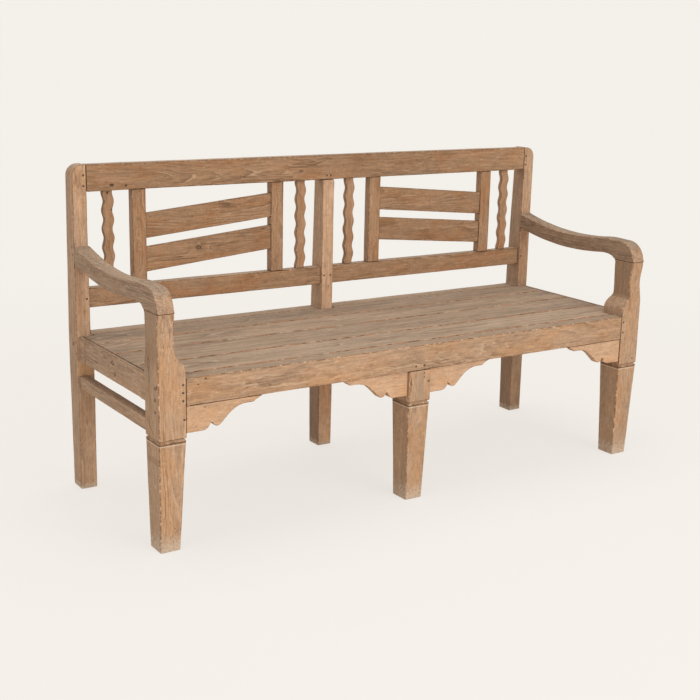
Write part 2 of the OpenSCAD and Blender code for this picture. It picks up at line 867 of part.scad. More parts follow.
// Bracket against the leg face at x
module bracket(x, side, recess) {
    color(TEAK_FRONT) difference() {
        union() {
            xz_plate(front + recess, bracket_t,
                [for (p = bracket_outline()) [x - side * p[0], rail_z + p[1]]]);
            bracket_tenon(x, side, recess);
        }
        seat_peg_set(peg_fit);
    }
}

module bracket_left_outer() {
    bracket(-half_w + leg_w, -1, bracket_recess);
}

module bracket_left_inner() {
    bracket(mid_leg_off - mid_leg_w / 2, 1, mid_recess);
}

module bracket_right_inner() {
    bracket(mid_leg_off + mid_leg_w / 2, -1, mid_recess);
}

module bracket_right_outer() {
    bracket(half_w - leg_w, 1, bracket_recess);
}

module back_pegs() {
    color(TEAK_DARK) back_peg_set();
}

module seat_pegs() {
    color(TEAK_DARK) seat_peg_set();
}

back_post_left();
back_post_centre();
back_post_right();
top_rail();
lower_back_rail_left();
lower_back_rail_right();
stile_left_outer();
stile_left_inner();
stile_right_inner();
stile_right_outer();
wavy_slat_left_outer();
wavy_slat_left_inner();
wavy_slat_right_inner();
wavy_slat_right_outer();
slanted_slat_left_upper();
slanted_slat_left_lower();
slanted_slat_right_upper();
slanted_slat_right_lower();
arm_left();
arm_right();
front_leg_left();
front_leg_centre();
front_leg_right();
front_rail();
rear_rail_left();
rear_rail_right();
side_rail_left();
side_rail_right();
side_stretcher_left();
side_stretcher_right();
cross_rail();
seat_plank_front();
seat_plank_mid_front();
seat_plank_mid_back();
seat_plank_back();
bracket_left_outer();
bracket_left_inner();
bracket_right_inner();
bracket_right_outer();
back_pegs();
seat_pegs();
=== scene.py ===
"""Looks of a long slatted bench of weathered, reclaimed hardwood.

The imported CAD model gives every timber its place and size. Each timber is dressed here: its
arrises are eased, its faces are worn a little out of true, and it gets a wood of its own whose
grain runs along it.
"""

import logging
import math
import random
from dataclasses import dataclass, field, replace
from enum import Enum

import bmesh
import bpy
from mathutils import Euler, Matrix, Vector
from mathutils.bvhtree import BVHTree

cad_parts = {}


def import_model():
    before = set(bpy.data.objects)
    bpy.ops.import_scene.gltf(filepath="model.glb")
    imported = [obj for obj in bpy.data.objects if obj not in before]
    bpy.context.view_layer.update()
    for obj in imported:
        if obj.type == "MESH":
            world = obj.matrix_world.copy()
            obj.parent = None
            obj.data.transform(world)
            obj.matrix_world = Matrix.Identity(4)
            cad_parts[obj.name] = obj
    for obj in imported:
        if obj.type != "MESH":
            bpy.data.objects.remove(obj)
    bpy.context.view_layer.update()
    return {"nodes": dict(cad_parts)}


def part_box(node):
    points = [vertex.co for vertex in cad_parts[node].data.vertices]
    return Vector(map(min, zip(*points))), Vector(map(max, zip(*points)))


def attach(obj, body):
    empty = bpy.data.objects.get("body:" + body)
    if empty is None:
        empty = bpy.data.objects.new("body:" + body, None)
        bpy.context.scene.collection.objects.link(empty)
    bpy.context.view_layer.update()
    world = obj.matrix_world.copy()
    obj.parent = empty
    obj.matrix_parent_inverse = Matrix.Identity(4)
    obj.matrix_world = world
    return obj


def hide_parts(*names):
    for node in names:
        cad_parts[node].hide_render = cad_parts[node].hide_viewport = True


log = logging.getLogger("slatted_bench")

Color = tuple[float, float, float]
Point = tuple[float, float, float]
Socket = bpy.types.NodeSocket

# Depth of the wood's relief in metres, and the strength of its reflections.
RELIEF = 0.0011
GLOSS = 0.25


class Grain(Enum):
    """The row axis that a timber's grain runs along."""

    ALONG = (0, (0.0, 0.0, 0.0))
    ACROSS = (1, (0.0, 0.0, -math.pi / 2))
    UPRIGHT = (2, (0.0, math.pi / 2, 0.0))

    def __init__(self, index: int, turn: Point) -> None:
        """Keeps what belongs to the axis.

        Args:
            index: Index of the axis, 0 to 2.
            turn: Rotation that brings it onto X, for a Mapping node.
        """
        self.index = index
        self.turn = turn
        self.matrix = Euler(turn).to_matrix()


def srgb(*channels: int) -> Color:
    """Linear colour of an 8-bit sRGB colour.

    Args:
        *channels: Red, green and blue, 0 to 255.
    """
    return tuple(part / 12.92 if part <= 0.04045 else ((part + 0.055) / 1.055) ** 2.4
                 for part in (channel / 255 for channel in channels))


@dataclass(frozen=True)
class Noise:
    """A noise pattern.

    Attributes:
        cell: Its scale per metre, which counts across the grain if it has a run.
        run: Its scale along the grain, per metre, or 0 if it isn't drawn out along it.
        detail: Its number of octaves.
        rough: Strength of the finer octaves.
    """

    cell: float
    run: float = 0.0
    detail: float = 2.0
    rough: float = 0.5


@dataclass(frozen=True)
class Veil:
    """A share that follows a noise pattern.

    Attributes:
        noise: The pattern.
        low: Value of the pattern that gives start.
        high: Value of the pattern that gives end.
        end: Share at high.
        start: Share at low.
    """

    noise: Noise
    low: float
    high: float
    end: float = 1.0
    start: float = 0.0


class NodeBench:
    """Lays out the nodes of one material or world."""

    def __init__(self, owner: bpy.types.Material | bpy.types.World) -> None:
        """Starts with no nodes.

        Args:
            owner: The material or world.
        """
        owner.use_nodes = True
        self.owner = owner
        self.tree = owner.node_tree
        self.tree.nodes.clear()

    def add(self, kind: str, **settings: object) -> bpy.types.Node:
        """Adds a node.

        Args:
            kind: Type of the node, without its first word.
            **settings: Properties of the node.

        Returns:
            The new node.
        """
        node = self.tree.nodes.new(f"ShaderNode{kind}")
        for key, value in settings.items():
            setattr(node, key, value)
        return node

    def put(self, node: bpy.types.Node, **values: object) -> None:
        """Gives inputs of a node a link or a plain value each.

        Args:
            node: The node.
            **values: Links or values by the input's name, with _ for each space.
        """
        for name, value in values.items():
            self.set(node.inputs[name.replace("_", " ")], value)

    def set(self, socket: Socket, value: object) -> None:
        """Gives one input a link or a plain value.

        Args:
            socket: The input.
            value: Another node's output, or a value.
        """
        if isinstance(value, Socket):
            self.tree.links.new(value, socket)
        elif isinstance(value, tuple) and socket.type == "RGBA":
            socket.default_value = (*value, 1.0)
        else:
            socket.default_value = value

    def math(self, operation: str, first: object, second: object = 0.0,
             clamp: bool = False) -> Socket:
        """Adds a Math node.

        Args:
            operation: Name of the operation.
            first: First value or link.
            second: Second value or link.
            clamp: Whether the result is kept between 0 and 1.

        Returns:
            The result.
        """
        node = self.add("Math", operation=operation, use_clamp=clamp)
        self.set(node.inputs[0], first)
        self.set(node.inputs[1], second)
        return node.outputs[0]

    def chain(self, operation: str, first: object, *others: object) -> Socket:
        """Puts values together one after the other.

        Args:
            operation: Name of the operation.
            first: First value or link.
            *others: Further values or links.

        Returns:
            The result.
        """
        for other in others:
            first = self.math(operation, first, other)
        return first

    def vector(self, operation: str, first: object, second: object = None) -> Socket:
        """Adds a Vector Math node.

        Args:
            operation: Name of the operation.
            first: First vector or link.
            second: Second vector or link, or the factor of SCALE, if there is one.

        Returns:
            The result, a single value for DOT_PRODUCT and LENGTH.
        """
        node = self.add("VectorMath", operation=operation)
        self.set(node.inputs[0], first)
        if second is not None:
            self.set(node.inputs["Scale" if operation == "SCALE" else 1], second)
        return node.outputs["Value" if operation in ("DOT_PRODUCT", "LENGTH") else "Vector"]

    def split(self, vector: Socket) -> list[Socket]:
        """The X, Y and Z of a vector."""
        node = self.add("SeparateXYZ")
        self.set(node.inputs[0], vector)
        return list(node.outputs)

    def noise(self, vector: Socket, pattern: Noise) -> Socket:
        """Adds a noise texture.

        Args:
            vector: Where it is read, with the grain along X if the pattern has a run.
            pattern: The pattern.

        Returns:
            Its value, about 0.5 on average.
        """
        scale = pattern.cell
        if pattern.run:
            vector = self.vector("MULTIPLY", vector, (pattern.run, pattern.cell, pattern.cell))
            scale = 1.0
        node = self.add("TexNoise")
        self.put(node, Vector=vector, Scale=scale, Detail=pattern.detail,
                 Roughness=pattern.rough)
        return node.outputs["Fac"]

    def swing(self, value: Socket, amount: float) -> Socket:
        """Turns a value about 0.5 into one about 0, times an amount."""
        return self.math("MULTIPLY", self.math("SUBTRACT", value, 0.5), amount)

    def fade(self, value: object, low: float, high: float, start: float = 0.0,
             end: float = 1.0) -> Socket:
        """Maps a value smoothly from one range onto another.

        Args:
            value: The value or link.
            low: Value that gives start.
            high: Value that gives end.
            start: Result at low.
            end: Result at high.

        Returns:
            The mapped value.
        """
        node = self.add("MapRange", interpolation_type="SMOOTHSTEP")
        self.put(node, Value=value, From_Min=low, From_Max=high, To_Min=start, To_Max=end)
        return node.outputs["Result"]

    def veil(self, vector: Socket, veil: Veil) -> Socket:
        """Share that a veil has where its pattern is read."""
        return self.fade(self.noise(vector, veil.noise), veil.low, veil.high, veil.start, veil.end)

    def mix(self, share: object, first: object, second: object) -> Socket:
        """Mixes two colours.

        Args:
            share: Share of the second colour.
            first: First colour or link.
            second: Second colour or link.

        Returns:
            The mixed colour.
        """
        node = self.add("Mix", data_type="RGBA")
        self.put(node, Factor=share)
        self.set(node.inputs[6], first)
        self.set(node.inputs[7], second)
        return node.outputs[2]

    def blend(self, share: Socket, first: bpy.types.Node, second: bpy.types.Node,
              output: str) -> None:
        """Ends the tree with a mix of two shaders.

        Args:
            share: Share of the second shader.
            first: First shader.
            second: Second shader.
            output: Type of the output node, without its first word.
        """
        node = self.add("MixShader")
        for socket, value in zip(node.inputs, (share, first.outputs[0], second.outputs[0])):
            self.set(socket, value)
        self.put(self.add(output), Surface=node.outputs[0])

    def matt(self, color: Socket, rough: object, height: Socket) -> None:
        """Ends the tree with a matt shader.

        Args:
            color: The base colour.
            rough: The roughness.
            height: Height of the relief, 0 to 1.
        """
        shader = self.add("BsdfPrincipled")
        bump = self.add("Bump")
        self.put(bump, Strength=1.0, Distance=RELIEF, Height=height)
        self.put(shader, Base_Color=color, Roughness=rough, Specular_IOR_Level=GLOSS,
                 Normal=bump.outputs["Normal"])
        self.put(self.add("OutputMaterial"), Surface=shader.outputs["BSDF"])


@dataclass(frozen=True)
class Knot:
    """A knot, or the mark of a nail, at one place on a timber.

    Attributes:
        place: Its centre in the row frame, in metres.
        radius: Its radius in metres.
        rings: Whether the grain closes round it in rings.
        stretch: How much longer it is along the grain than across it.
        dark: How dark its rim is.
    """

    place: Point
    radius: float
    rings: bool = False
    stretch: float = 1.4
    dark: float = 0.85


@dataclass(frozen=True)
class Patch:
    """An area of a timber with a colour of its own: a repair, a stain, fresh wood, painted shade or
    a painted highlight.

    Attributes:
        centre: Its centre in the row frame, in metres.
        half: Half its size along each row axis, in metres.
        color: Its colour.
        strength: Share of that colour.
        ragged: How far its outline wanders, as a share of its size.
    """

    centre: Point
    half: Point
    color: Color
    strength: float = 0.6
    ragged: float = 0.3


@dataclass(frozen=True)
class Crack:
    """A crack that runs straight from one place to another.

    Attributes:
        start: Its start in the row frame, in metres.
        end: Its end.
        through: Row axis that it goes through the timber along.
        width: Half its width in metres.
        strength: How dark it is.
    """

    start: Point
    end: Point
    through: str = "y"
    width: float = 0.0011
    strength: float = 0.7


@dataclass(frozen=True)
class WoodFinish:
    """One way that the old wood has weathered.

    Attributes:
        name: Name of the finish.
        slot: Material slot of the record; not used.
        heart: Its main colour.
        rust: Colour of its warmer patches.
        pale: Colour of the bleached fibres.
        deep: Colour of the late wood in each growth ring.
        grey: Colour of the weathered film on it.
        edge: Colour of the rubbed arrises.
        figure: Strength of the growth rings.
        mottle: Strength of the cloudy spots.
        streaks: Strength of the fibres and streaks.
        grey_cover: Share of the surface under the grey film.
        side_shade_and_grey: Further grey on the faces that look to the left or to the right, part
            weather film and part painted shade.
        ring_gap: Distance between growth rings in metres.
        wear: Strength of the wear on the arrises.
        rough: Roughness.
        dash: Scale of the dashes on its arrises, per metre.
    """

    name: str
    slot: str
    heart: Color
    rust: Color
    pale: Color
    deep: Color
    grey: Color
    edge: Color
    figure: float = 0.5
    mottle: float = 1.0
    streaks: float = 1.0
    grey_cover: float = 0.4
    side_shade_and_grey: float = 0.5
    ring_gap: float = 0.006
    wear: float = 0.8
    rough: float = 0.78
    dash: float = 105.0


WEATHERED_TOP = srgb(168, 144, 121)
SCUFF = srgb(204, 186, 165)
FRONT = WoodFinish("rubbed_front", "front_wood", heart=srgb(180, 145, 115),
                   rust=srgb(179, 136, 98), pale=srgb(222, 196, 168), deep=srgb(146, 100, 66),
                   grey=srgb(160, 134, 110), edge=srgb(156, 108, 72), streaks=0.6,
                   grey_cover=0.2)
FRAME = WoodFinish("frame", "frame_wood", heart=srgb(190, 154, 123), rust=srgb(178, 136, 102),
                   pale=srgb(214, 186, 156), deep=srgb(138, 96, 64), grey=srgb(156, 129, 106),
                   edge=srgb(140, 102, 74), figure=0.6, streaks=0.9, grey_cover=0.35,
                   side_shade_and_grey=0.6, wear=0.5)
ARM = replace(FRAME, name="arm", edge=srgb(170, 128, 96), side_shade_and_grey=0.9, wear=0.35)
BACK = WoodFinish("back", "back_wood", heart=srgb(162, 126, 95), rust=srgb(157, 113, 77),
                  pale=srgb(204, 172, 140), deep=srgb(116, 78, 52), grey=srgb(154, 128, 106),
                  edge=srgb(116, 78, 53), figure=0.85, mottle=0.8, streaks=0.7,
                  grey_cover=0.25)
SEAT = WoodFinish("seat", "seat_wood", heart=srgb(172, 145, 120), rust=srgb(176, 140, 108),
                  pale=srgb(200, 180, 158), deep=srgb(128, 98, 74), grey=srgb(164, 145, 126),
                  edge=srgb(176, 120, 76), figure=1.0, mottle=0.8, streaks=1.6,
                  grey_cover=0.6, side_shade_and_grey=0.1, wear=0.9, dash=42.0)
PEG = WoodFinish("peg", "peg_wood", heart=srgb(112, 84, 62), rust=srgb(104, 74, 50),
                 pale=srgb(142, 114, 90), deep=srgb(60, 42, 30), grey=srgb(96, 78, 62),
                 edge=srgb(90, 66, 48), ring_gap=0.002, wear=0.2, rough=0.85)

# Patterns of the wood, from its broad clouds to its fibres.
CLOUD = Noise(5.0, 1.7)
BLOTCH = Noise(17.0, 7.0, 4.0, 0.62)
FILM = Noise(12.0, 4.0, 4.0, 0.62)
STREAK = Noise(58.0, 3.0, 3.0, 0.6)
MOTTLE = Noise(105.0, 60.0, 3.0, 0.70)
FLECK = Noise(270.0, 26.0, 2.0, 0.6)
FIBRE = Noise(320.0, 12.0, 4.0, 0.62)
DENTS = Noise(34.0)
RAGGED = Noise(90.0, detail=3.0)
CRACKED = Noise(150.0)
GRIT = Noise(170.0, detail=4.0, rough=0.7)
CHECK = Noise(46.0, 2.6)
CHECKED = Veil(Noise(17.0, 5.0, 1.0), 0.60, 0.70)
HAZE = Veil(Noise(100.0, 26.0, 4.0, 0.72), 0.58, 0.74, 0.45)
PALE_SPECKS = Veil(Noise(240.0, rough=0.6), 0.65, 0.72, 0.6)
DARK_SPECKS = Veil(Noise(205.0, rough=0.6), 0.66, 0.72, 0.75)
RINGED = Veil(Noise(13.0, 5.0), 0.40, 0.62, start=0.15)
BROKEN_LINES = Veil(Noise(60.0, 20.0), 0.42, 0.62)
# How far each pattern bends the growth rings, in metres.
BENDS = ((Noise(4.0, 1.5, 1.5), 0.085), (Noise(12.0, 5.0, 1.5), 0.016),
         (Noise(70.0, 24.0, 1.5), 0.003))


@dataclass
class Painter:
    """Paints the wood of one timber.

    Attributes:
        look: How the wood has weathered.
        timber: The timber.
        dice: Source of the timber's own numbers.
        bench: The material in work.
        place: Object coordinates.
        along: Coordinates from the timber's centre, with its grain along X.
    """

    look: WoodFinish
    timber: "Timber"
    dice: random.Random
    bench: NodeBench = field(init=False)
    place: Socket = field(init=False)
    along: Socket = field(init=False)

    def __post_init__(self) -> None:
        """Starts the material with its coordinates."""
        name = f"{self.look.name}_{self.timber.node}"
        self.bench = NodeBench(bpy.data.materials.new(name))
        self.place = self.bench.add("TexCoord").outputs["Object"]
        low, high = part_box(self.timber.node)
        centre = self.timber.grain.matrix @ ((low + high) / 2)
        mapping = self.bench.add("Mapping")
        self.bench.put(mapping, Vector=self.place, Rotation=self.timber.grain.turn,
                       Location=(self.dice.uniform(-9, 9), -centre.y, -centre.z))
        self.along = mapping.outputs["Vector"]

    def paint(self) -> bpy.types.Material:
        """Lays out the whole wood and returns its material."""
        bench, look = self.bench, self.look
        late, line = self._rings()
        fibre, mottle, blotch = (bench.noise(self.along, pattern)
                                 for pattern in (FIBRE, MOTTLE, BLOTCH))
        swings = ((bench.noise(self.along, CLOUD), 0.42), (mottle, 0.60 * look.mottle),
                  (bench.noise(self.along, STREAK), 0.70 * look.streaks),
                  (fibre, 0.70 * look.streaks), (bench.noise(self.along, FLECK), 0.8))
        gain = bench.chain("ADD", self.timber.tone, *(bench.swing(*swing) for swing in swings),
                           bench.math("MULTIPLY", late, -0.26 * look.figure))

        color = bench.mix(bench.fade(blotch, 0.44, 0.66, 0.0, 0.8), look.heart, look.rust)
        color = bench.vector("SCALE", self._film(color, blotch), gain)
        lines = bench.chain("MULTIPLY", line, bench.veil(self.along, BROKEN_LINES),
                            0.6 * look.figure)
        checks = self._checks()
        dark = tuple(0.42 * part for part in look.deep)
        for share, tone in ((lines, look.pale),
                            (bench.veil(self.along, HAZE), look.pale),
                            (bench.math("MULTIPLY", checks, 0.6), dark),
                            (bench.veil(self.place, PALE_SPECKS), look.pale),
                            (bench.veil(self.along, DARK_SPECKS), dark)):
            color = bench.mix(share, color, tone)
        color, marks = self._marks(self._edges(color, dark))
        if self.timber.foot:
            color = self._scuffs(color)

        heights = ((fibre, 0.32 * look.streaks), (late, -0.14), (checks, -0.8), (mottle, 0.22),
                   (bench.noise(self.place, DENTS), 0.7), (marks, -0.5))
        relief = bench.chain("ADD", *(bench.math("MULTIPLY", *height) for height in heights))
        bench.matt(color, bench.fade(fibre, 0.3, 0.7, look.rough - 0.08, look.rough + 0.08), relief)
        return bench.owner

    def _rings(self) -> tuple[Socket, Socket]:
        """Growth rings round a heart that lies outside the timber and wanders.

        Returns:
            The late wood and the pale line of each ring, 0 to 1.
        """
        bench, dice, flat = self.bench, self.dice, self.timber.flat
        low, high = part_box(self.timber.node)
        size = self.timber.grain.matrix @ (high - low)
        deep, wide = (abs(size.z), abs(size.y)) if flat else (abs(size.y), abs(size.z))
        away = (deep / 2 + dice.uniform(0.03, 0.07)) * dice.choice((-1, 1))
        aside = dice.uniform(-0.35, 0.35) * wide
        heart = (0.0, aside, away) if flat else (0.0, away, aside)
        cross = bench.vector("MULTIPLY", bench.vector("ADD", self.along, heart), (0.0, 1.0, 1.0))
        bends = [bench.swing(bench.noise(self.along, pattern), sway) for pattern, sway in BENDS]
        pushes = [bench.fade(self._distance(knot), 0.0, knot.radius * 6, knot.radius * 1.5, 0.0)
                  for knot in self.timber.knots if knot.rings]
        radius = bench.chain("ADD", bench.vector("LENGTH", cross), *bends, *pushes)
        phase = bench.math("FRACT", bench.math("DIVIDE", radius, self.look.ring_gap))
        where = bench.veil(self.along, RINGED)
        late = bench.chain("MULTIPLY", bench.fade(phase, 0.35, 0.88), bench.fade(phase, 1.0, 0.9),
                           where)
        edge = bench.math("ABSOLUTE", bench.math("SUBTRACT", phase, 0.5))
        return late, bench.math("MULTIPLY", bench.fade(edge, 0.39, 0.48), where)

    def _film(self, color: Socket, blotch: Socket) -> Socket:
        """The grey film of weather, in patches and most on what looks up, and a further grey on the
        faces that look left or right, part weather film and part painted shade.

        Args:
            color: The colour so far.
            blotch: Noise of the warm patches.

        Returns:
            The colour under the film.
        """
        bench, shift = self.bench, 0.3 * self.look.grey_cover
        patch = bench.math("SUBTRACT", bench.noise(self.along, FILM), bench.swing(blotch, 0.5))
        film = bench.fade(patch, 0.66 - shift, 0.9 - shift, 0.0, 0.75)
        sideways, _, upward = bench.split(bench.add("TexCoord").outputs["Normal"])
        # Painted shade, with some weather film: more grey on the faces that look left or right.
        side = bench.fade(bench.math("ABSOLUTE", sideways), 0.4, 0.9, 0.0, self.look.side_shade_and_grey)
        film = bench.math("MULTIPLY", bench.math("ADD", film, side, clamp=True), 0.85)
        color = bench.mix(film, color, self.look.grey)
        return bench.mix(bench.fade(upward, 0.55, 0.85, 0.0, 0.85), color, WEATHERED_TOP)

    def _checks(self) -> Socket:
        """Drying cracks, 1 in a crack: thin lines along the grain, in a few places only."""
        bench = self.bench
        off = bench.math("ABSOLUTE", bench.math("SUBTRACT", bench.noise(self.along, CHECK), 0.5))
        return bench.math("MULTIPLY", bench.fade(off, 0.011, 0.003),
                          bench.veil(self.along, CHECKED))

    def _edges(self, color: Socket, dark: Color) -> Socket:
        """Rubbed and chipped arrises, and the dark lines where timbers meet.

        Args:
            color: The colour so far.
            dark: Colour of dirt.

        Returns:
            The colour with its edges.
        """
        bench, wear, dash = self.bench, self.look.wear, self.look.dash
        arris, seam = (bench.add("Attribute", attribute_name=name).outputs["Fac"]
                       for name in ("arris", "seam"))
        rubbed = bench.noise(self.place, Noise(0.44 * dash, detail=3.0, rough=0.6))
        dashes = bench.noise(self.place, Noise(dash, rough=0.6))
        for place, share, tone in (
            (arris, bench.fade(rubbed, 0.36, 0.54, 0.25 * wear, wear), self.look.edge),
            (arris, bench.fade(dashes, 0.55, 0.65, 0.0, 0.8 * wear), self.look.pale),
            (arris, bench.fade(dashes, 0.47, 0.37, 0.0, 0.85 * wear), dark),
            (seam, bench.fade(rubbed, 0.3, 0.6, 0.9, 0.7), dark),
        ):
            color = bench.mix(bench.math("MULTIPLY", place, share), color, tone)
        return color

    def _marks(self, color: Socket) -> tuple[Socket, object]:
        """Patches, knots, nails and cracks.

        Args:
            color: The colour so far.

        Returns:
            The colour with the marks, and how deep they are, 0 to 1.
        """
        bench = self.bench
        for patch in self.timber.patches:
            share = bench.fade(self._reach(patch), 1.05, 0.85, 0.0, patch.strength)
            color = bench.mix(share, color, patch.color)
        black = tuple(0.3 * part for part in self.look.deep)
        depth: object = 0.0
        for knot in self.timber.knots:
            spread, rim = self._distance(knot), knot.radius * 0.75
            dark = bench.fade(spread, knot.radius * 1.15, rim, 0.0, knot.dark)
            color = bench.mix(dark, color, black)
            if knot.rings:
                core = bench.fade(spread, rim, knot.radius * 0.45, 0.0, 0.5)
                color = bench.mix(core, color, self.look.heart)
            depth = bench.math("MAXIMUM", depth, dark)
        for crack in self.timber.cracks:
            dark = bench.fade(self._beside(crack), crack.width * 1.6, crack.width * 0.6, 0.0,
                              crack.strength)
            color = bench.mix(dark, color, black)
            depth = bench.math("MAXIMUM", depth, dark)
        return color, depth

    def _scuffs(self, color: Socket) -> Socket:
        """Pale speckle on a foot, thinner further up.

        Args:
            color: The colour so far.

        Returns:
            The colour with the scuffs.
        """
        bench = self.bench
        near = bench.fade(bench.split(self.place)[2], self.timber.foot, 0.0)
        grit = bench.math("ADD", bench.noise(self.place, GRIT), bench.math("MULTIPLY", near, 0.24))
        share = bench.math("MULTIPLY", bench.fade(grit, 0.55, 0.80, 0.0, 0.75),
                           bench.fade(near, 0.0, 0.3))
        return bench.mix(share, color, SCUFF)

    def _reach(self, patch: Patch) -> Socket:
        """How far out a point is in a patch: 1 on its ragged outline."""
        bench = self.bench
        offset = bench.vector("SUBTRACT", self.place, patch.centre)
        offset = bench.vector("MULTIPLY", offset, tuple(1.0 / half for half in patch.half))
        reach = bench.chain("MAXIMUM", *bench.split(bench.vector("ABSOLUTE", offset)))
        return bench.math("ADD", reach, bench.swing(bench.noise(self.place, RAGGED),
                                                    patch.ragged * 2))

    def _distance(self, knot: Knot) -> Socket:
        """Distance from a knot in metres, shorter along the grain by its stretch."""
        scale = [1.0, 1.0, 1.0]
        scale[self.timber.grain.index] = 1.0 / knot.stretch
        offset = self.bench.vector("SUBTRACT", self.place, knot.place)
        return self.bench.vector("LENGTH", self.bench.vector("MULTIPLY", offset, tuple(scale)))

    def _beside(self, crack: Crack) -> Socket:
        """Distance from a crack in metres, seen along the axis that it goes through."""
        bench = self.bench
        plane = tuple(float(axis != crack.through) for axis in "xyz")
        run = (Vector(crack.end) - Vector(crack.start)) * Vector(plane)
        offset = bench.vector("SUBTRACT", self.place, crack.start)
        offset = bench.vector("MULTIPLY", offset, plane)
        share = bench.math("DIVIDE", bench.vector("DOT_PRODUCT", offset, tuple(run)),
                           run.length_squared, clamp=True)
        nearest = bench.vector("SCALE", tuple(run), share)
        spread = bench.vector("LENGTH", bench.vector("SUBTRACT", offset, nearest))
        return bench.math("ADD", spread, bench.swing(bench.noise(self.place, CRACKED),
                                                     crack.width * 2))


SIDES = ("left", "right")
# Edges that bend less than KEEP_FLAT stay sharp, faces that bend less than FLAT are joined, and
# shading runs on smoothly up to SMOOTH, or up to DOMED on a peg.
KEEP_FLAT = math.radians(28)
FLAT = math.radians(0.3)
SMOOTH = math.radians(38)
DOMED = math.radians(40)
# Points within WELD are one, and an edge that rises less than LEVEL runs across, both in metres.
# Faces under SLIVER, in square metres, have no edge to ease.
WELD = 1e-5
LEVEL = 1e-4
SLIVER = 1e-8
# Least distance of a cross cut from a shoulder, in widths of the eased edge.
CLEARANCE = 3.0
# Size of the worn hollows in metres, and the value of the cloud that isn't moved.
HOLLOW = 0.09
INWARD = 0.74
# Difference between the seeds of neighbouring timbers.
SEED_STEP = 7


def pick_only(piece: bpy.types.Object) -> None:
    """Selects one object and makes it the active one."""
    bpy.ops.object.select_all(action="DESELECT")
    piece.select_set(True)
    bpy.context.view_layer.objects.active = piece


def shape_by(piece: bpy.types.Object, kind: str, **settings: object) -> None:
    """Adds a modifier to a piece and applies it.

    Args:
        piece: The piece in work.
        kind: Type of the modifier.
        **settings: Its settings.
    """
    modifier = piece.modifiers.new(kind.lower(), kind)
    for key, value in settings.items():
        setattr(modifier, key, value)
    pick_only(piece)
    bpy.ops.object.modifier_apply(modifier=modifier.name)


